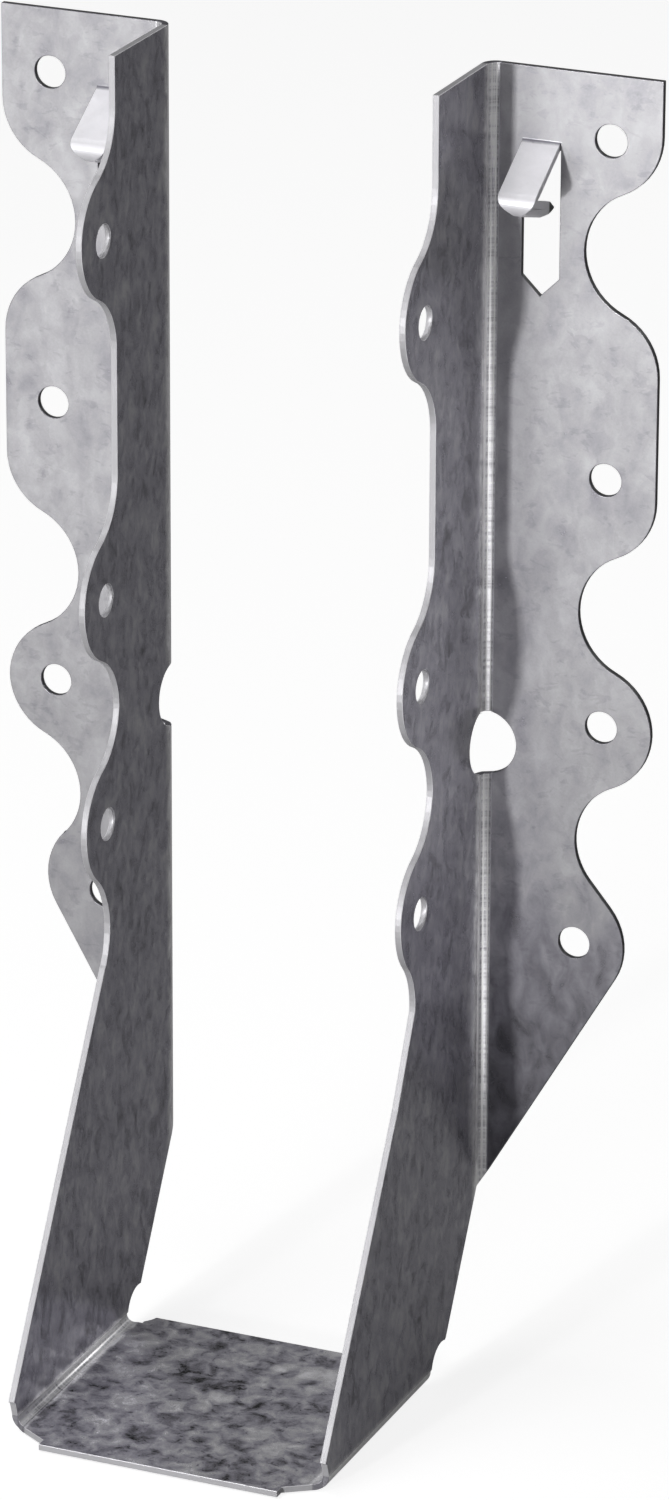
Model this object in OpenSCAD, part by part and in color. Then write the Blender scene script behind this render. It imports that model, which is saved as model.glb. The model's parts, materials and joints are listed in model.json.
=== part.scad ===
// Face-mount joist hanger, folded from one galvanised steel sheet.
// The header face is the plane Y = 0, the joist lies along Y, and Z = 0 is the middle of the four
// upper header nail holes. Heights below are measured up from the seat's underside.
// Values given as pairs are [left side, right side], seen from the joist.

/* [Sheet] */
// Thickness of the steel sheet
sheet_t = 0.8; // [0.7:0.02:1.2]
// Inside radius of every fold
fold_r = 1.05; // [0.8:0.05:1.6]

/* [Channel] */
// Clear width between the two side plates
channel_w = 39.7; // [37:0.1:44]
// Height from the seat's underside to the top edge
hanger_h = 162.3; // [150:0.1:180]

/* [Seat] */
// Distance from the header face to the front of the seat
seat_front = 50.45; // [49.5:0.05:60]
// Distance from the header face to the back of the seat
seat_back = 12.9; // [11.5:0.05:13.5]
// Distance from the middle to each end of the seat's front tongue
tongue_w = [15.3, 15.7]; // [14:0.05:16.5]
// Step at each end of the tongue
tongue_step = 1.3; // [0.8:0.05:2]
// Diameter of the notch behind each seat fold, on the plate and on the seat
heel_notch_d = [6, 6.7]; // [5:0.1:7]
// Distance from the header face to the middle of the heel notch
heel_notch_y = 12; // [11.5:0.1:12.5]
// Height of the heel notch's middle on the side plate
heel_notch_z = 1.3; // [0.8:0.1:1.6]

/* [Side plates] */
// Distance from the header face to the plate's front edge between lobes
plate_depth = 16.45; // [15:0.05:18]
// Radius of every lobe, bay and corner along the scalloped edges
scallop_r = 7.94; // [6:0.02:8.4]
// How far a lobe stands out, and how deep a bay cuts in
scallop_depth = 9.4; // [8:0.1:10]
// Heights of the front lobes on the left plate
left_lobe_z = [68.25, 96.65, 141.35]; // [60:0.05:145]
// Heights of the front lobes on the right plate
right_lobe_z = [63.35, 92, 136.7]; // [55:0.05:140]
// Slope of the lower edges from the vertical
slope_angle = 30; // [26:0.5:32]
// Distance from the header face to the front slope at seat level
toe_reach = 49.85; // [49:0.05:50.3]
// Distance from the header face to the back slope at seat level
heel_reach = [13.65, 13.07]; // [12.8:0.01:14.5]
// Radius of the valley under the lowest lobe
valley_r = [9.25, 7.94]; // [6:0.01:11]
// Height of the valley's middle
valley_z = [54.9, 52.2]; // [50:0.1:57]
// Angle at which the valley runs out into the front slope
valley_end_angle = [30, 6]; // [0:1:32]
// Height at which the edge under the valley joins the front slope
slope_top_z = [50, 40.7]; // [36:0.1:50]
// Height at which the front slope ends above the seat fold
toe_notch_z = 4; // [3:0.1:5]
// Depth of the notch in front of the seat fold
toe_notch_depth = 1; // [0.5:0.05:1.6]

/* [Header flanges] */
// Distance from the plate's inner face to the flange's outer edge
flange_w = 22.05; // [21:0.05:25]
// Heights of the bays in the left flange's outer edge
left_bay_z = [63.4, 92.05, 136.4]; // [60:0.05:140]
// Heights of the bays in the right flange's outer edge
right_bay_z = [67.8, 96.7, 141]; // [64:0.05:144]
// Distance from the plate's inner face to the tip of the lowest lobe
foot_lobe_w = [17.15, 19.05]; // [16:0.05:20]
// Height of the lowest lobe's middle
foot_lobe_z = [52.4, 54.4]; // [50:0.1:56]

/* [Nail holes] */
// Diameter of every nail hole
nail_d = 4; // [3:0.1:4.4]
// Distance from a flange's outer edge to its nail holes
nail_edge = 6.3; // [5:0.05:7]
// Heights of the two rows of upper nail holes that both flanges share
header_nail_z = [113.4, 154.5]; // [100:0.05:156]
// Height of the third nail hole in each flange
third_nail_z = [77.8, 82.5]; // [75:0.05:92]
// Distance from the plate's inner face to the lowest nail hole in each flange
foot_nail_w = [9.45, 12.75]; // [8.5:0.05:13.5]
// Height of the lowest nail hole in each flange
foot_nail_z = [50.95, 54.5]; // [48:0.05:57]
// Distance from the header face to the joist nail holes
joist_nail_y = 19.85; // [19:0.05:20.5]
// Heights of the joist nail holes in the left plate
left_joist_nail_z = [68.3, 96.7, 141]; // [60:0.05:145]
// Heights of the joist nail holes in the right plate
right_joist_nail_z = [63.4, 91.95, 136.3]; // [55:0.05:140]

/* [Fold reliefs] */
// Diameter of the hole that crosses each header fold
relief_d = 7.94; // [6:0.02:9]
// Height of that hole
relief_z = 78.5; // [76:0.1:81]
// Distance from the corner of the fold to that hole's middle
relief_set = 1; // [0.5:0.05:1.5]

/* [Prongs] */
// Width of the lanced prong and of its window
prong_w = 4.7; // [4:0.1:5.2]
// Distance from the plate's inner face to the middle of the prong
prong_x = 7.2; // [6.6:0.05:8]
// Distance from the top edge down to the prong's hinge
prong_drop = 8.7; // [7.3:0.1:11.3]
// Length of the window, from the hinge to its point
window_len = 18.8; // [17:0.1:21]
// Length of the window's point
window_point = 2.3; // [1.5:0.1:2.6]
// Slope of the prong's arm below the horizontal
arm_angle = 31.4; // [25:0.2:36]
// Length of the prong's arm
arm_len = 8.4; // [7:0.1:9.5]
// Outer radius of the hook at the arm's end
hook_r = 1.6; // [1.4:0.02:1.9]
// Where the hook starts to taper, above its middle, as a share of its radius
hook_shoulder = 0.6; // [0.4:0.05:0.8]
// Slope of the barb below the horizontal
barb_angle = 16; // [10:1:24]
// Length of the barb behind the hook
barb_len = 8.05; // [7:0.05:9]
// Depth of the barb's folded walls
barb_w = 1.95; // [1.6:0.05:2.4]
// Height of the barb's tip above its lower edge
tip_rise = 1.32; // [0.8:0.01:1.5]

/* [Hidden] */

// Height of the foot, which stays as it is when the hanger's height changes
foot_h = 68.3;
// Height of the hanger for which the places above the foot are given; they spread with its height
given_h = 162.3;
function up(z) = z <= foot_h ? z : foot_h + (z - foot_h) * (hanger_h - foot_h) / (given_h - foot_h);

frame_z = (up(header_nail_z[0]) + up(header_nail_z[1])) / 2;
hinge_z = hanger_h - prong_drop;
half_w = channel_w / 2;
flange_edge = half_w + flange_w;
fold_out = fold_r + sheet_t;
// Overrun of cutters and margins beyond the sheet
over = 1;
arc_steps = 10;
hook_steps = 14;
circle_steps = 64;
// Rounded top of the toe notch as [share of the notch's depth, drop]
toe_corner = [[0.4, 0.3], [0.65, 1]];
// How far the seat's front corner runs ahead of the toe notch beside the fold
toe_lead = fold_r / 2;
// Barb's bevels as [back from its tip in lengths of the window's point, up in depths of the barb]
barb_bevel = [[1.2, 0], [0.55, 0.24]];
barb_back = [0.7, 1];
// Half the width of the barb, whose two walls stand one sheet apart, and the height of its round
barb_half = 1.5 * sheet_t;
barb_round_z = 0.9 * barb_half;

// Half the height of one whole scallop, and the angle where its arcs meet
meet_angle = acos((2 * scallop_r - scallop_depth) / (2 * scallop_r));
scallop_half = 2 * scallop_r * sin(meet_angle);

function arc(c, r, a0, a1, steps = arc_steps) =
    [for (i = [0:steps]) let (a = a0 + (a1 - a0) * i / steps) c + r * [cos(a), sin(a)]];

// Where a line that crosses between two circles touches the first: angle seen from its centre
function cross_tangent(c1, c2, reach, turn) =
    let (d = c2 - c1)
    atan2(d[1], d[0]) + turn * acos(min(1, reach / norm(d)));

// Upper half of a scallop from the straight edge inwards: side is 1 for a lobe and -1 for a bay
function scallop_corner(edge, z, side) =
    [for (i = [0:arc_steps]) let (a = meet_angle * i / arc_steps)
        [edge + side * scallop_r * (1 - cos(a)), z + scallop_half - scallop_r * sin(a)]];

function scallop_centre(edge, z, side) = [edge + side * (scallop_depth - scallop_r), z];

function flip_z(points, z) = [for (i = [len(points) - 1:-1:0]) [points[i][0], 2 * z - points[i][1]]];

// A whole scallop as a closed outline that runs back behind the straight edge
module scallop(edge, z, side) {
    corner = scallop_corner(edge, z, side);
    middle = side > 0 ? 0 : 180;
    main_arc = arc(scallop_centre(edge, z, side), scallop_r,
        middle + side * meet_angle, middle - side * meet_angle, 2 * arc_steps);
    polygon(concat([[edge - side * over, z + scallop_half]], corner, main_arc,
        flip_z(corner, z), [[edge - side * over, z - scallop_half]]));
}

// Distance forward of the header face to the front slope at height z
function slope_reach(z) = toe_reach - z * tan(slope_angle);

// Lowest front lobe, the valley under it and the start of the slope, as [forward, height]
function foot_edge(lobe_z, i) =
    let (lobe_c = scallop_centre(plate_depth, lobe_z, 1),
         span = scallop_r + valley_r[i],
         valley_c = lobe_c + [sqrt(pow(span, 2) - pow(lobe_z - valley_z[i], 2)), valley_z[i] - lobe_z],
         meet = cross_tangent(valley_c, lobe_c, span, 0))
    concat(scallop_corner(plate_depth, lobe_z, 1),
        arc(lobe_c, scallop_r, meet_angle, meet - 180, 2 * arc_steps),
        arc(valley_c, valley_r[i], meet, 180 + valley_end_angle[i]),
        [[slope_reach(slope_top_z[i]), slope_top_z[i]]]);

// Side view of one plate as [forward, height], with its toe and heel notches
module plate_outline(lobes, i) {
    heel_top = heel_notch_z + heel_notch_d[0] / 2;
    toe = slope_reach(toe_notch_z);
    notch = toe - toe_notch_depth;
    polygon(concat(
        [[-over, hanger_h], [plate_depth, hanger_h]],
        foot_edge(lobes[0], i),
        [for (q = concat([[0, 0]], toe_corner)) [toe - q[0] * toe_notch_depth, toe_notch_z - q[1]]],
        [[notch, fold_out], [notch, sheet_t], [seat_front + over, sheet_t],
         [seat_front + over, -over], [seat_back - over, -over], [seat_back - over, heel_top - over],
         [heel_reach[i] - heel_top * tan(slope_angle), heel_top],
         [-over, (heel_reach[i] + over) / tan(slope_angle)]]));
    for (z = [lobes[1], lobes[2]]) scallop(plate_depth, up(z), 1);
}

// Lowest bay, foot lobe and slope of one flange, as the outline of what is cut away
module foot_cut(bay_z, i) {
    bay_c = scallop_centre(flange_edge, bay_z, -1);
    lobe_c = [half_w + foot_lobe_w[i] - scallop_r, foot_lobe_z[i]];
    meet = cross_tangent(lobe_c, bay_c, 2 * scallop_r, -1);
    start = lobe_c + scallop_r * [cos(slope_angle), -sin(slope_angle)];
    polygon(concat(
        [[flange_edge + over, bay_z + scallop_half]],
        scallop_corner(flange_edge, bay_z, -1),
        arc(bay_c, scallop_r, 180 - meet_angle, 180 + meet, 2 * arc_steps),
        arc(lobe_c, scallop_r, meet, -slope_angle),
        [[start[0] - (start[1] + over) * tan(slope_angle), -over], [flange_edge + over, -over]]));
}

// Front view of one plate edge and its flange as [outward, height]
module flange_outline(bays, i) {
    difference() {
        translate([half_w - over, -over]) square([flange_w + over, hanger_h + over]);
        difference() {
            union() {
                foot_cut(bays[0], i);
                for (z = [bays[1], bays[2]]) scallop(flange_edge, up(z), -1);
            }
            translate([0, -2 * over]) square([half_w + sheet_t, hanger_h]);
        }
    }
}

// Quarter of the ring that every fold has in section
module fold_ring() {
    intersection() {
        difference() {
            circle(fold_out, $fn = circle_steps);
            circle(fold_r, $fn = circle_steps);
        }
        square(fold_out + over);
    }
}

// Plan section of one side: plate, header fold and flange
module header_section() {
    translate([half_w, -seat_front - over]) square([sheet_t, seat_front + over - fold_out]);
    translate([half_w + fold_out, -fold_out]) rotate(90) fold_ring();
    translate([half_w + fold_out, -sheet_t]) square([flange_w - fold_out, sheet_t]);
}

// Front section of the seat with its two folds and the foot of each plate
module seat_section() {
    translate([-half_w + fold_r, 0]) square([channel_w - 2 * fold_r, sheet_t]);
    for (m = [0, 1]) mirror([m, 0]) {
        translate([half_w - fold_r, fold_out]) rotate(-90) fold_ring();
        translate([half_w, fold_out]) square([sheet_t, over]);
    }
}

// Plan view of half the seat, from the tongue back to the heel edge
module seat_outline(i) {
    notch = slope_reach(toe_notch_z) - toe_notch_depth;
    polygon([[-over, -seat_front], [tongue_w[i], -seat_front], [tongue_w[i], tongue_step - seat_front],
        [half_w - fold_r, -notch - toe_lead], [half_w, -notch],
        [half_w + sheet_t + over, -notch], [half_w + sheet_t + over, -seat_back], [-over, -seat_back]]);
}

// Turns an outline drawn as [forward, height] into a solid across X from x0 to x1
module across(x0, x1) {
    translate([x1, 0, 0]) rotate([90, 0, -90]) linear_extrude(x1 - x0) children();
}

// Turns an outline drawn as [outward, height] into a solid along Y from y0 to y1
module along(y0, y1) {
    translate([0, y1, 0]) rotate([90, 0, 0]) linear_extrude(y1 - y0) children();
}

// Nail hole through a flange or a plate
module face_nail(x, z) {
    translate([x, over, z]) rotate([90, 0, 0])
        cylinder(d = nail_d, h = sheet_t + 2 * over, $fn = circle_steps);
}

module joist_nail(z) {
    translate([half_w - over, -joist_nail_y, z]) rotate([0, 90, 0])
        cylinder(d = nail_d, h = sheet_t + 2 * over, $fn = circle_steps);
}

// Hole that crosses the header fold, as punched in the flat sheet and then folded
module fold_relief() {
    translate([half_w + relief_set, over, up(relief_z)]) rotate([90, 0, 0])
        cylinder(d = relief_d, h = fold_out + over, $fn = circle_steps);
    translate([half_w - over, -relief_set, up(relief_z)]) rotate([0, 90, 0])
        cylinder(d = relief_d, h = fold_out + over, $fn = circle_steps);
}

// Round notch at the back end of a seat fold
module heel_notch() {
    translate([half_w - fold_out, -heel_notch_y, heel_notch_z]) rotate([0, 90, 0])
        cylinder(d = heel_notch_d[0], h = 2 * fold_out + over, $fn = circle_steps);
    translate([half_w + sheet_t / 2, -heel_notch_y, -over])
        cylinder(d = heel_notch_d[1], h = fold_out + over, $fn = circle_steps);
}

// Window left in the flange by the lanced prong
module prong_window() {
    foot = hinge_z - window_len;
    along(-sheet_t - over, over) translate([half_w + prong_x, 0]) polygon([
        [-prong_w / 2, hinge_z], [prong_w / 2, hinge_z],
        [prong_w / 2, foot + window_point], [0, foot], [-prong_w / 2, foot + window_point]]);
}

// Outline points along the hook, from the arm's end to the foot of the barb
function hook_arc(c, r) = arc(c, r, 90 - arm_angle, barb_angle - 90, hook_steps);

function reverse(points) = [for (k = [len(points) - 1:-1:0]) points[k]];

// Half of the hook's tapered front view: full width at the arm, nothing at its foot
function hook_half(side) =
    let (top = hook_shoulder * hook_r)
    [for (k = [0:arc_steps]) let (u = k / arc_steps)
        [side * (1 - u * u) * prong_w / 2, top - u * (top + hook_r)]];

// Hooked prong that leans out of the flange and points back at the header
module prong() {
    face = [sin(arm_angle), cos(arm_angle)];
    arm_end = [sheet_t, hinge_z] + arm_len * [cos(arm_angle), -sin(arm_angle)];
    hook_c = arm_end - hook_r * face;
    mid = half_w + prong_x;
    intersection() {
        across(mid - prong_w / 2, mid + prong_w / 2) polygon(concat(
            [[0, hinge_z + sheet_t], [sheet_t, hinge_z + sheet_t], [sheet_t, hinge_z]],
            hook_arc(hook_c, hook_r), reverse(hook_arc(hook_c, hook_r - sheet_t)),
            [[0, hinge_z - sheet_t * (1 - sin(arm_angle)) / cos(arm_angle)]]));
        along(-2 * arm_len, over) translate([mid, hook_c[1]]) polygon(concat(
            [[prong_w, 2 * arm_len], [prong_w, hook_shoulder * hook_r]], hook_half(1), reverse(hook_half(-1)),
            [[-prong_w, hook_shoulder * hook_r], [-prong_w, 2 * arm_len]]));
    }
    difference() {
        intersection() {
            across(mid - barb_half, mid + barb_half) polygon(concat(
                hook_arc(hook_c, hook_r), barb_edge(hook_c), [hook_c + (hook_r - sheet_t) * face]));
            barb_round(mid, hook_c);
        }
        across(mid - sheet_t / 2, mid + sheet_t / 2) polygon([
            barb_point(hook_c, hook_r - sheet_t, sheet_t), barb_point(hook_c, barb_len + over, sheet_t),
            barb_point(hook_c, barb_len + over, barb_w + over),
            barb_point(hook_c, hook_r - sheet_t, barb_w + over)]);
    }
}

// Point s along the barb's lower edge from the foot of the hook, and p above that edge
function barb_point(hook_c, s, p) = hook_c + s * [-cos(barb_angle), -sin(barb_angle)]
    + (p - hook_r) * [-sin(barb_angle), cos(barb_angle)];

// Edge of the barb from its lower bevels round the tip to its upper edge
function barb_edge(hook_c) = concat(
    [for (q = barb_bevel) barb_point(hook_c, barb_len - q[0] * window_point, q[1] * barb_w)],
    [barb_point(hook_c, barb_len, tip_rise)],
    [barb_point(hook_c, barb_len - barb_back[0] * window_point, barb_back[1] * barb_w)],
    [barb_point(hook_c, 0, barb_w)]);

// Bar along the barb whose underside is round, as the sheet is folded into a U there
module barb_round(mid, hook_c) {
    end = barb_point(hook_c, barb_len + over, barb_round_z);
    translate([mid, -end[0], end[1]]) rotate([90 - barb_angle, 0, 0]) linear_extrude(barb_len + 3 * hook_r) {
        circle(barb_half, $fn = circle_steps);
        translate([-barb_half, 0]) square([2 * barb_half, 3 * hook_r]);
    }
}

// One side of the hanger, built on the +X side
module side(lobes, bays, joist_nails, i) {
    difference() {
        intersection() {
            linear_extrude(hanger_h) header_section();
            across(half_w - over, flange_edge + over) plate_outline(lobes, i);
            along(-seat_front - 2 * over, over) flange_outline(bays, i);
            translate([0, -seat_front - over, fold_out])
                cube([flange_edge + over, seat_front + 2 * over, hanger_h]);
        }
        for (z = concat([third_nail_z[i]], header_nail_z)) face_nail(flange_edge - nail_edge, up(z));
        face_nail(half_w + foot_nail_w[i], foot_nail_z[i]);
        for (z = joist_nails) joist_nail(up(z));
        fold_relief();
        heel_notch();
        prong_window();
    }
    prong();
}

module seat() {
    difference() {
        intersection() {
            along(-seat_front - over, 0) seat_section();
            translate([0, 0, -over]) linear_extrude(2 * over + fold_out) {
                seat_outline(1);
                mirror([1, 0]) seat_outline(0);
            }
        }
        for (m = [0, 1]) mirror([m, 0, 0]) heel_notch();
    }
}

module hanger() {
    color("silver") translate([0, 0, -frame_z]) {
        seat();
        side(right_lobe_z, right_bay_z, right_joist_nail_z, 1);
        mirror([1, 0, 0]) side(left_lobe_z, left_bay_z, left_joist_nail_z, 0);
    }
}

hanger();
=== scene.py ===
import json
import math

import bpy
from mathutils import Matrix, Vector


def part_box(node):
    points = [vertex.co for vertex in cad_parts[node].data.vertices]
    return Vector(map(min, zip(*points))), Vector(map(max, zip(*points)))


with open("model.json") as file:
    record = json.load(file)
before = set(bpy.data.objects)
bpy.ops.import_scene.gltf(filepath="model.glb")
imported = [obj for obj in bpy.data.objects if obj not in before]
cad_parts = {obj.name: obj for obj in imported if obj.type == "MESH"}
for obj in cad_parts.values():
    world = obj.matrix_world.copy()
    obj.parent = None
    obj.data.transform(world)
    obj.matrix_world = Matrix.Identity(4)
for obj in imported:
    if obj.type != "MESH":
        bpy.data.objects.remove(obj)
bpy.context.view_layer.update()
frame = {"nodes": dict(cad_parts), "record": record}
hanger = frame["nodes"]["hanger"]
low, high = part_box("hanger")
mounts = {m["name"]: m for m in frame["record"]["mounts"]}

# The folded sheet in millimetres: X from the middle of the channel, Y from the header face
# and Z from the seat's underside
MM = 1000.0
SHEET = 0.8
FOLD_INNER = 1.05
FOLD_OUTER = FOLD_INNER + SHEET
PLATE_MID = abs(mounts["joist_nails_right"]["pos_m"][0]) * MM
PLATE_IN = PLATE_MID - SHEET / 2
FLANGE_START = PLATE_IN + FOLD_OUTER
SEAT_END = PLATE_IN - FOLD_INNER
SEAT_UNDER = low.z * MM

# Soft borders between kinds of surface, in millimetres
BORDER = 0.1
WIDE_BORDER = 0.3
FLANGE_BORDER = 0.2
PLATE_SKIN = 0.05
PRONG_CLEAR = 0.6
FOLD_REACH = 0.25
# Widths of the strips beside the folds that get a painted highlight
HEADER_STRIP = 1.5
PLATE_STRIP = 0.7
SEAT_STRIP = 0.6
# Where the painted shade on the right flange's foot starts and where it is full, in millimetres above the
# seat's underside
PAINTED_SHADE_FROM = 74.0
PAINTED_SHADE_FULL = 40.0

# The coat: its greys and roughness, how metallic it is, and how much darker the painted shade on the right
# flange's foot is
# Many greys are painted light on one zinc coat: the plates and seat, the folds' cut ends and the flange's
# cut edges and rims are darker as painted shade, and the prongs, the folds, the strips beside them and the
# plate rims are lighter as painted highlights; cut edges are also bare steel
GREY = {
    "flange": 0.57, "plate": 0.38, "seat": 0.39, "prong": 0.84,
    "beside_fold": 0.9, "fold": 0.98, "header_fold_end": 0.10, "seat_fold_end": 0.35,
    "plate_cut": 0.55, "flange_cut": 0.05, "plate_rim": 0.85, "flange_rim": 0.22,
}
ROUGH = {
    "flange": 0.24, "plate": 0.25, "seat": 0.33, "prong": 0.44,
    "fold": 0.31, "fold_end": 0.44, "cut": 0.44, "rim": 0.38,
}
METAL = {"sheet": 0.5, "fold": 0.8, "bare": 0.3}
SPECULAR = 0.3
PAINTED_SHADE_DARKER = 0.5
PALE_TINT = (1.01, 1.0, 1.04, 1)
DARK_TINT = (1.03, 1.0, 1.16, 1)

# The modifiers, in metres and degrees
EDGE_BEVEL = 0.00009
JOIN_WITHIN = 1e-6
CLEAN_WITHIN = 1e-7
FLAT_WITHIN = 0.3
SHARP_ABOVE = 40

# The stage: how strong the floor and the world look to the camera and to metal
FLOOR_MATT = 0.4
FLOOR_GLOW = 0.83
FLOOR_IN_METAL = 0.12
WORLD_LIGHT = 0.10
WORLD_IN_METAL = 0.23
LAMP_DISTANCE = 0.9
# Each lamp: its name, its direction from the hanger, its side in metres and its watts
LAMPS = (
    ("key", (-0.165, -0.98, 0.06), 0.05, 4.4),
    ("soft", (-0.30, -0.82, 0.52), 0.4, 1.4),
    ("top", (-0.3, -0.1, 1.0), 0.5, 1.7),
    ("back", (0.34, 0.86, 0.36), 0.25, 0.43),
)
# Each card: its name, its middle on the floor, its size and its strength
CARDS = (
    ("front_card", (-0.24, -0.485), (0.52, 0.55), 0.85),
    ("right_card", (0.42, -0.19), (0.72, 0.28), 1.4),
)


class Graph:
    """Short calls that build one node tree."""

    def __init__(self, tree):
        self.tree = tree
        tree.nodes.clear()

    def node(self, kind, **settings):
        made = self.tree.nodes.new(kind)
        for name, value in settings.items():
            setattr(made, name, value)
        return made

    def put(self, socket, value):
        if isinstance(value, bpy.types.NodeSocket):
            self.tree.links.new(value, socket)
        else:
            socket.default_value = value

    def math(self, operation, a, b=0.0, clamp=False):
        made = self.node("ShaderNodeMath", operation=operation, use_clamp=clamp)
        self.put(made.inputs[0], a)
        self.put(made.inputs[1], b)
        return made.outputs[0]

    def add(self, a, b):
        return self.math("ADD", a, b)

    def sub(self, a, b):
        return self.math("SUBTRACT", a, b)

    def mul(self, a, b):
        return self.math("MULTIPLY", a, b)

    def larger(self, a, b):
        return self.math("MAXIMUM", a, b)

    def unsigned(self, value):
        return self.math("ABSOLUTE", value)

    def inverse(self, mask):
        return self.sub(1.0, mask)

    def sum(self, values):
        out = values[0]
        for value in values[1:]:
            out = self.add(out, value)
        return out

    def both(self, *masks):
        out = masks[0]
        for mask in masks[1:]:
            out = self.mul(out, mask)
        return out

    def swing(self, pattern, amount):
        """How far a pattern is from a half, times amount."""
        return self.mul(self.sub(pattern, 0.5), amount)

    def step(self, value, start, end):
        """Smooth step from 0, where value is start, to 1, where it is end."""
        made = self.node("ShaderNodeMapRange", interpolation_type="SMOOTHSTEP")
        for socket, given in zip(made.inputs[:3], (value, start, end)):
            self.put(socket, given)
        return made.outputs[0]

    def band(self, value, centre, half, soft):
        """1 within half of centre, fading to 0 over soft."""
        away = self.unsigned(self.sub(value, centre))
        return self.step(away, half + soft, half)

    def blend(self, share, a, b):
        made = self.node("ShaderNodeMix", data_type="FLOAT")
        self.put(made.inputs[0], share)
        self.put(made.inputs[2], a)
        self.put(made.inputs[3], b)
        return made.outputs[0]

    def layers(self, base, *layers):
        """Lays each value over the ones before it, where its mask is 1."""
        for mask, value in layers:
            base = self.blend(mask, base, value)
        return base

    def tint(self, share, a, b, kind="MIX"):
        made = self.node("ShaderNodeMix", data_type="RGBA", blend_type=kind)
        self.put(made.inputs[0], share)
        self.put(made.inputs[6], a)
        self.put(made.inputs[7], b)
        return made.outputs[2]

    def parts(self, vector):
        made = self.node("ShaderNodeSeparateXYZ")
        self.put(made.inputs[0], vector)
        return made.outputs[:3]

    def stretch(self, vector, x, y, z):
        made = self.node("ShaderNodeVectorMath", operation="MULTIPLY")
        self.put(made.inputs[0], vector)
        made.inputs[1].default_value = (x, y, z)
        return made.outputs[0]

    def noise(self, vector, scale, detail=2.0, roughness=0.5, distortion=0.0):
        made = self.node("ShaderNodeTexNoise", noise_dimensions="3D")
        self.put(made.inputs["Vector"], vector)
        made.inputs["Scale"].default_value = scale
        made.inputs["Detail"].default_value = detail
        made.inputs["Roughness"].default_value = roughness
        made.inputs["Distortion"].default_value = distortion
        return made.outputs["Fac"]

    def crystals(self, vector, scale):
        """A flat random value for each crystal of a broken-edged cell pattern."""
        warp = self.node("ShaderNodeTexNoise", noise_dimensions="3D")
        self.put(warp.inputs["Vector"], vector)
        warp.inputs["Scale"].default_value = scale * 1.7
        warp.inputs["Detail"].default_value = 3.0
        shifted = self.node("ShaderNodeVectorMath", operation="MULTIPLY_ADD")
        self.put(shifted.inputs[0], warp.outputs["Color"])
        shifted.inputs[1].default_value = (0.9 / scale,) * 3
        self.put(shifted.inputs[2], vector)
        cells = self.node("ShaderNodeTexVoronoi", feature="F1")
        self.put(cells.inputs["Vector"], shifted.outputs[0])
        cells.inputs["Scale"].default_value = scale
        split = self.node("ShaderNodeSeparateColor")
        self.put(split.inputs[0], cells.outputs["Color"])
        return split.outputs[0]


class Surfaces:
    """Masks for each kind of surface, from its place and its normal on the part."""

    def __init__(self, g):
        self.g = g
        place = g.node("ShaderNodeTexCoord")
        self.at = g.stretch(place.outputs["Object"], MM, MM, MM)
        side, y, up = g.parts(self.at)
        x = g.unsigned(side)
        z = g.sub(up, SEAT_UNDER)
        normal = g.parts(place.outputs["Normal"])
        self.across, self.ahead, self.upward = [g.unsigned(part) for part in normal]
        self.flange = g.step(x, FLANGE_START - BORDER, FLANGE_START + BORDER)
        self.prong = g.both(self.flange, g.step(y, -SHEET - BORDER, -SHEET - PRONG_CLEAR))
        # Painted shade: the right flange grows darker from 74 mm above the seat's underside and is fully
        # darker below 40 mm
        self.painted_shade = g.both(self.flange, g.step(side, 0.0, 1.0), g.step(z, PAINTED_SHADE_FROM, PAINTED_SHADE_FULL))
        self.add_folds(x, y, z)
        self.add_edges(x, z)

    def add_folds(self, x, y, z):
        """The four bends, their cut ends and the strips beside them; the bends and strips carry painted
        highlights and the cut ends painted shade.
        """
        g = self.g
        self.header_fold = g.both(g.step(x, FLANGE_START + FOLD_REACH, FLANGE_START - BORDER),
                                  g.step(y, -FOLD_OUTER - FOLD_REACH, -FOLD_OUTER + BORDER))
        self.seat_fold = g.both(g.step(x, SEAT_END - FOLD_REACH, SEAT_END + BORDER),
                                g.step(z, FOLD_OUTER + FOLD_REACH, FOLD_OUTER - BORDER))
        self.fold = g.larger(self.header_fold, self.seat_fold)
        self.fold_end = g.add(g.both(self.header_fold, g.step(self.upward, 0.35, 0.6)),
                              g.both(self.seat_fold, g.step(self.ahead, 0.35, 0.6)))
        header_strip = g.both(g.step(x, FLANGE_START, FLANGE_START - FLANGE_BORDER),
                              g.step(y, -FOLD_OUTER - HEADER_STRIP, -FOLD_OUTER))
        seat_strip = g.add(g.both(self.across, g.step(z, FOLD_OUTER + PLATE_STRIP, FOLD_OUTER)),
                           g.both(self.upward, g.step(x, SEAT_END - SEAT_STRIP, SEAT_END)))
        strips = g.math("MAXIMUM", header_strip, seat_strip, clamp=True)
        self.beside_fold = g.both(strips, g.inverse(self.fold))

    def add_edges(self, x, z):
        """The sheet's cut edges and the thin bevelled rims beside them."""
        g = self.g
        plate = g.both(g.step(x, FLANGE_START, FLANGE_START - FLANGE_BORDER),
                       g.step(z, FOLD_OUTER - BORDER, FOLD_OUTER + WIDE_BORDER),
                       g.step(x, PLATE_IN - WIDE_BORDER, PLATE_IN - PLATE_SKIN))
        seat = g.step(x, SEAT_END, SEAT_END - WIDE_BORDER)
        flange = g.mul(self.flange, g.inverse(self.prong))
        sheets = ((self.across, plate), (self.ahead, flange), (self.upward, seat))
        cuts = [g.mul(g.step(facing, 0.35, 0.1), sheet) for facing, sheet in sheets]
        rims = [g.both(g.step(facing, 0.15, 0.35), g.step(facing, 0.97, 0.9), sheet)
                for facing, sheet in sheets]
        off_fold = g.inverse(self.fold)
        self.cut = g.mul(g.sum(cuts), off_fold)
        self.rim = g.mul(g.sum(rims), off_fold)
        self.edge = g.larger(self.cut, self.rim)

    def each(self, flange, plate, seat):
        """One value where the sheet faces ahead, one where across and one where up or down."""
        return self.g.blend(self.upward, self.g.blend(self.across, flange, plate), seat)


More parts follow.
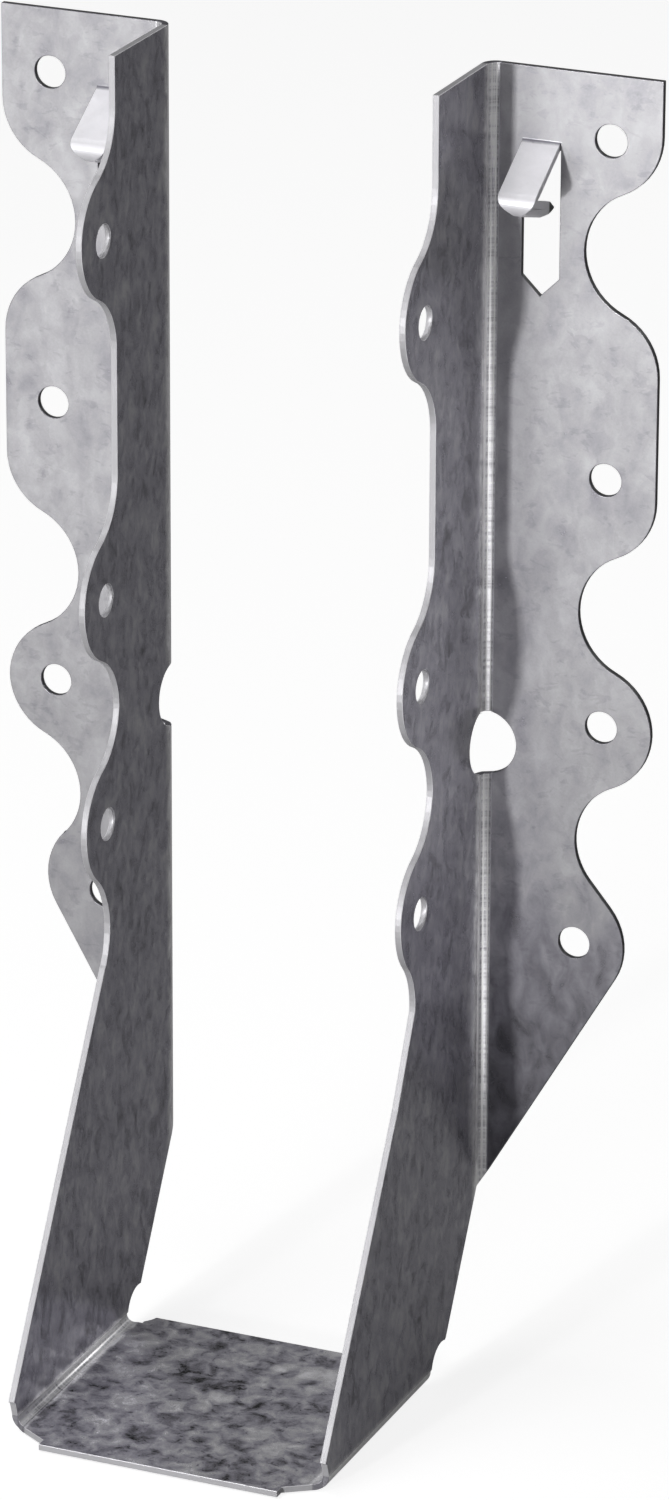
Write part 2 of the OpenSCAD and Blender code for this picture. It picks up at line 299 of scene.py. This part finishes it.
class Zinc:
    """The patterns of the zinc coat, with their scales per millimetre."""

    def __init__(self, g, at):
        self.spangle = g.crystals(at, 0.42)
        self.clouds = g.noise(at, 0.16, 4.0, 0.6, 0.5)
        self.patches = g.noise(g.stretch(at, 1.0, 1.0, 0.6), 0.42, 3.0, 0.5, 0.6)
        self.streaks = g.noise(g.stretch(at, 1.0, 1.0, 0.6), 0.62, 4.0, 0.58, 0.6)
        self.grain = g.noise(at, 4.5, 3.0, 0.6)
        flecks = g.noise(g.stretch(at, 0.8, 1.1, 1.0), 1.0, 4.0, 0.6, 1.0)
        self.specks = g.step(flecks, 0.42, 0.33)
        self.blobs = g.step(flecks, 0.56, 0.66)
        self.marks = g.step(g.noise(g.stretch(at, 1.0, 1.0, 1.8), 0.4, 3.0, 0.62, 0.5), 0.42, 0.34)
        self.dashes = g.step(g.noise(g.stretch(at, 1.0, 1.0, 0.45), 1.5, 2.0, 0.55), 0.45, 0.33)


def coat_tone(g, on, zinc):
    """How much lighter or darker than its grey each spot of the zinc is."""
    cloudy = g.sum([g.swing(zinc.clouds, 0.8), g.swing(zinc.patches, 0.8), g.swing(zinc.spangle, 0.10),
                    g.swing(zinc.grain, 0.25), g.mul(zinc.marks, -0.15)])
    # Stronger mottle within the painted shade on the right flange's foot
    cloudy = g.add(cloudy, g.mul(on.painted_shade, g.swing(zinc.patches, 1.6)))
    streaky = g.sum([g.swing(zinc.streaks, 2.2), g.mul(zinc.dashes, -0.16),
                     g.swing(zinc.clouds, 1.2), g.swing(zinc.grain, 0.6)])
    blotchy = g.sum([g.swing(zinc.patches, 4.0), g.swing(zinc.clouds, 2.6), g.mul(zinc.specks, -0.55),
                     g.swing(zinc.spangle, 0.35), g.mul(zinc.blobs, 0.25), g.swing(zinc.grain, 0.9)])
    tone = on.each(cloudy, streaky, blotchy)
    return g.both(tone, g.blend(on.prong, 0.9, 0.06), g.blend(on.edge, 1.0, 0.12))


def ticks(g, at, along):
    """Ticks across a fold and fine lines along it, about a mean of 0; along is the fold's axis."""
    line_share = 0.8
    tick_stretch = [0.1, 0.1, 0.1]
    tick_stretch[along] = 2.0
    line_stretch = [1.0, 1.0, 1.0]
    line_stretch[along] = 0.02
    pattern = g.add(g.noise(g.stretch(at, *tick_stretch), 1.2, 2.0, 0.6),
                    g.mul(g.noise(g.stretch(at, *line_stretch), 4.0, 2.0, 0.6), line_share))
    return g.sub(pattern, 0.5 + 0.5 * line_share)


def fold_ticks(g, on):
    """Ticks on the header folds, which run along Z, and on the seat folds, which run along Y."""
    return g.add(g.both(ticks(g, on.at, 2), on.header_fold), g.both(ticks(g, on.at, 1), on.seat_fold))


def fold_tone(g, on, tone, ticked):
    """The coat's tone with the ticks on the folds, and pale painted highlight lines across each fold at set
    angles of its normal, with the fold a little darker between them.
    """
    # Painted highlight lines at three angles across each fold
    painted_highlight_lines = g.sum([g.band(on.across, centre, 0.03, 0.07) for centre in (0.25, 0.68, 0.96)])
    line_depth = g.sub(0.45, g.mul(on.fold_end, 0.45))
    tone = g.add(g.mul(tone, g.inverse(g.mul(on.fold, 0.7))), g.mul(ticked, 1.2))
    return g.add(tone, g.both(g.sub(painted_highlight_lines, 0.4), on.fold, line_depth))


def coat_colour(g, on, tone):
    """The grey of each kind of surface with its tone, a little bluer where it is dark. Its lighter and
    darker greys on the one zinc coat are painted highlights and painted shade.
    """
    # The plates and seat are written darker than the flanges, as painted shade on the same coat
    grey = on.each(GREY["flange"], GREY["plate"], GREY["seat"])
    # The prongs are written lighter than the flanges as a painted highlight
    grey = g.blend(on.prong, grey, GREY["prong"])
    # Painted shade: the right flange's foot is written up to half darker
    grey = g.mul(grey, g.inverse(g.mul(on.painted_shade, PAINTED_SHADE_DARKER)))
    grey = g.layers(
        grey,
        # Painted highlight: bright strips beside the folds
        (g.mul(on.beside_fold, 0.8), GREY["beside_fold"]),
        # Painted highlight: the folds are written near white
        (on.fold, GREY["fold"]),
        # The folds' cut ends, bare steel, are written dark as painted shade, darkest on top of the header
        # folds
        (on.fold_end, g.blend(on.ahead, GREY["header_fold_end"], GREY["seat_fold_end"])),
        # Cut edges are bare steel; the flange's are written near black as painted shade
        (on.cut, g.blend(on.flange, GREY["plate_cut"], GREY["flange_cut"])),
        # Rims: the plate's are written near white as painted highlight lines, the flange's dark as painted
        # shade
        (on.rim, g.blend(on.flange, GREY["plate_rim"], GREY["flange_rim"])),
    )
    level = g.math("MULTIPLY", grey, g.add(1.0, tone), clamp=True)
    dark_share = g.both(g.step(level, 0.6, 0.3), g.inverse(on.cut), g.blend(on.ahead, 1.0, 0.6))
    even = g.node("ShaderNodeCombineColor")
    for socket in even.inputs[:3]:
        g.put(socket, level)
    return g.tint(1.0, even.outputs[0], g.tint(dark_share, PALE_TINT, DARK_TINT), "MULTIPLY")


def coat_roughness(g, on, tone):
    """A sheet that is smoother where it is lighter, with even folds, edges and prongs."""
    sheet = on.each(ROUGH["flange"], ROUGH["plate"], ROUGH["seat"])
    return g.layers(
        g.add(sheet, g.mul(tone, -0.10)),
        (on.fold, ROUGH["fold"]),
        (on.fold_end, ROUGH["fold_end"]),
        (on.cut, ROUGH["cut"]),
        (on.rim, ROUGH["rim"]),
        (on.prong, ROUGH["prong"]),
    )


def coat_bump(g, on, zinc, ticked):
    """A very shallow relief of the zinc and the ticks, none on the edges."""
    relief = g.sum([g.mul(zinc.patches, 0.35), g.mul(zinc.grain, 0.25), g.mul(zinc.streaks, 0.4)])
    bump = g.node("ShaderNodeBump")
    bump.inputs["Strength"].default_value = 0.25
    bump.inputs["Distance"].default_value = 0.00005
    g.put(bump.inputs["Height"], g.mul(g.add(relief, g.mul(ticked, 1.2)), g.inverse(on.edge)))
    return bump.outputs[0]


def galvanised():
    made = bpy.data.materials.new("galvanised_steel")
    made.use_nodes = True
    g = Graph(made.node_tree)
    on = Surfaces(g)
    zinc = Zinc(g, on.at)
    ticked = fold_ticks(g, on)
    tone = fold_tone(g, on, coat_tone(g, on, zinc), ticked)
    bare = g.larger(on.prong, on.cut)
    metallic = g.layers(METAL["sheet"], (on.fold, METAL["fold"]), (bare, METAL["bare"]))

    shader = g.node("ShaderNodeBsdfPrincipled")
    g.put(shader.inputs["Base Color"], coat_colour(g, on, tone))
    g.put(shader.inputs["Metallic"], metallic)
    shader.inputs["Specular IOR Level"].default_value = SPECULAR
    g.put(shader.inputs["Roughness"], coat_roughness(g, on, tone))
    g.put(shader.inputs["Normal"], coat_bump(g, on, zinc, ticked))
    out = g.node("ShaderNodeOutputMaterial")
    g.put(out.inputs[0], shader.outputs[0])
    return made


def seen(g, camera, glossy):
    """A strength for what the camera or glass sees, another for what metal reflects, and 0 for the rest."""
    ray = g.node("ShaderNodeLightPath")
    direct = g.larger(ray.outputs["Is Camera Ray"], ray.outputs["Is Transmission Ray"])
    return g.add(g.mul(direct, camera), g.mul(ray.outputs["Is Glossy Ray"], glossy))


def pale_floor():
    """A matt floor that looks nearly white and still shows the shadow."""
    made = bpy.data.materials.new("floor")
    made.use_nodes = True
    g = Graph(made.node_tree)
    matt = g.node("ShaderNodeBsdfDiffuse")
    g.put(matt.inputs["Color"], (FLOOR_MATT, FLOOR_MATT, FLOOR_MATT, 1))
    glow = g.node("ShaderNodeEmission")
    g.put(glow.inputs["Strength"], seen(g, FLOOR_GLOW, FLOOR_GLOW * FLOOR_IN_METAL))
    added = g.node("ShaderNodeAddShader")
    g.put(added.inputs[0], matt.outputs[0])
    g.put(added.inputs[1], glow.outputs[0])
    out = g.node("ShaderNodeOutputMaterial")
    g.put(out.inputs[0], added.outputs[0])
    return made


def only_in_metal(name, strength):
    """A glow that reflections see and that is clear to everything else."""
    made = bpy.data.materials.new(name)
    made.use_nodes = True
    g = Graph(made.node_tree)
    clear = g.node("ShaderNodeBsdfTransparent")
    glow = g.node("ShaderNodeEmission")
    glow.inputs["Strength"].default_value = strength
    ray = g.node("ShaderNodeLightPath")
    mixed = g.node("ShaderNodeMixShader")
    g.put(mixed.inputs[0], ray.outputs["Is Glossy Ray"])
    g.put(mixed.inputs[1], clear.outputs[0])
    g.put(mixed.inputs[2], glow.outputs[0])
    out = g.node("ShaderNodeOutputMaterial")
    g.put(out.inputs[0], mixed.outputs[0])
    return made


def softened_edges(piece):
    """Rounds the sheared edges of the sheet a little and drops the empty faces that this leaves."""
    join = piece.modifiers.new("join", "WELD")
    join.merge_threshold = JOIN_WITHIN
    flat = piece.modifiers.new("flat", "DECIMATE")
    flat.decimate_type = "DISSOLVE"
    flat.angle_limit = math.radians(FLAT_WITHIN)
    soften = piece.modifiers.new("soften", "BEVEL")
    soften.width = EDGE_BEVEL
    soften.segments = 2
    soften.limit_method = "ANGLE"
    soften.angle_limit = math.radians(SHARP_ABOVE)
    soften.use_clamp_overlap = False
    soften.harden_normals = True
    clean = piece.modifiers.new("clean", "WELD")
    clean.merge_threshold = CLEAN_WITHIN


def camera():
    """The camera stands to the right of the hanger's front and looks down on it."""
    yaw, pitch, roll = 0.404849572, 0.367108045, -0.00410136
    stand = (0.33005, -0.76780, 0.26131)
    ahead = Vector((-math.sin(yaw) * math.cos(pitch), math.cos(yaw) * math.cos(pitch), -math.sin(pitch)))
    right = Vector((math.cos(yaw), math.sin(yaw), 0))
    down = ahead.cross(right)
    image_x = math.cos(roll) * right + math.sin(roll) * down
    image_down = -math.sin(roll) * right + math.cos(roll) * down
    lens = bpy.data.cameras.new("camera")
    lens.sensor_fit = "AUTO"
    lens.sensor_width = 36
    lens.lens = 178.396
    lens.clip_start = 0.01
    made = bpy.data.objects.new("camera", lens)
    turn = Matrix((image_x, -image_down, -ahead)).transposed()
    made.matrix_world = Matrix.Translation(stand) @ turn.to_4x4()
    bpy.context.scene.collection.objects.link(made)
    bpy.context.scene.camera = made


def lamp(name, toward, side, power):
    """A square soft lamp, in the direction toward from the middle of the hanger."""
    light = bpy.data.lights.new(name, "AREA")
    light.size = side
    light.energy = power
    made = bpy.data.objects.new(name, light)
    aim = Vector(toward).normalized()
    made.location = (low + high) / 2 + LAMP_DISTANCE * aim
    made.rotation_euler = aim.to_track_quat("Z", "Y").to_euler()
    bpy.context.scene.collection.objects.link(made)


def ground(name, middle, size, drop, material):
    """A level rectangle of the stage, drop metres below the hanger."""
    bpy.ops.mesh.primitive_plane_add(size=1, location=(*middle, low.z - drop))
    made = bpy.context.object
    made.name = name
    made.scale = (*size, 1)
    made.data.materials.append(material)


def surroundings():
    """White behind the hanger, and an even grey light from all round."""
    world = bpy.data.worlds.new("studio")
    bpy.context.scene.world = world
    world.use_nodes = True
    g = Graph(world.node_tree)
    light = g.node("ShaderNodeBackground")
    g.put(light.inputs["Color"], (1, 1, 1, 1))
    g.put(light.inputs["Strength"], g.add(WORLD_LIGHT, seen(g, 1.0 - WORLD_LIGHT, WORLD_IN_METAL)))
    out = g.node("ShaderNodeOutputWorld")
    g.put(out.inputs[0], light.outputs[0])


hanger.data.materials.clear()
hanger.data.materials.append(galvanised())
softened_edges(hanger)

ground("floor", (0, 0), (6, 6), 0.0002, pale_floor())
camera()
for name, toward, side, power in LAMPS:
    lamp(name, toward, side, power)
for name, middle, size, strength in CARDS:
    ground(name, middle, size, 0.0001, only_in_metal(name, strength))
surroundings()
bpy.context.scene.view_settings.view_transform = "Standard"
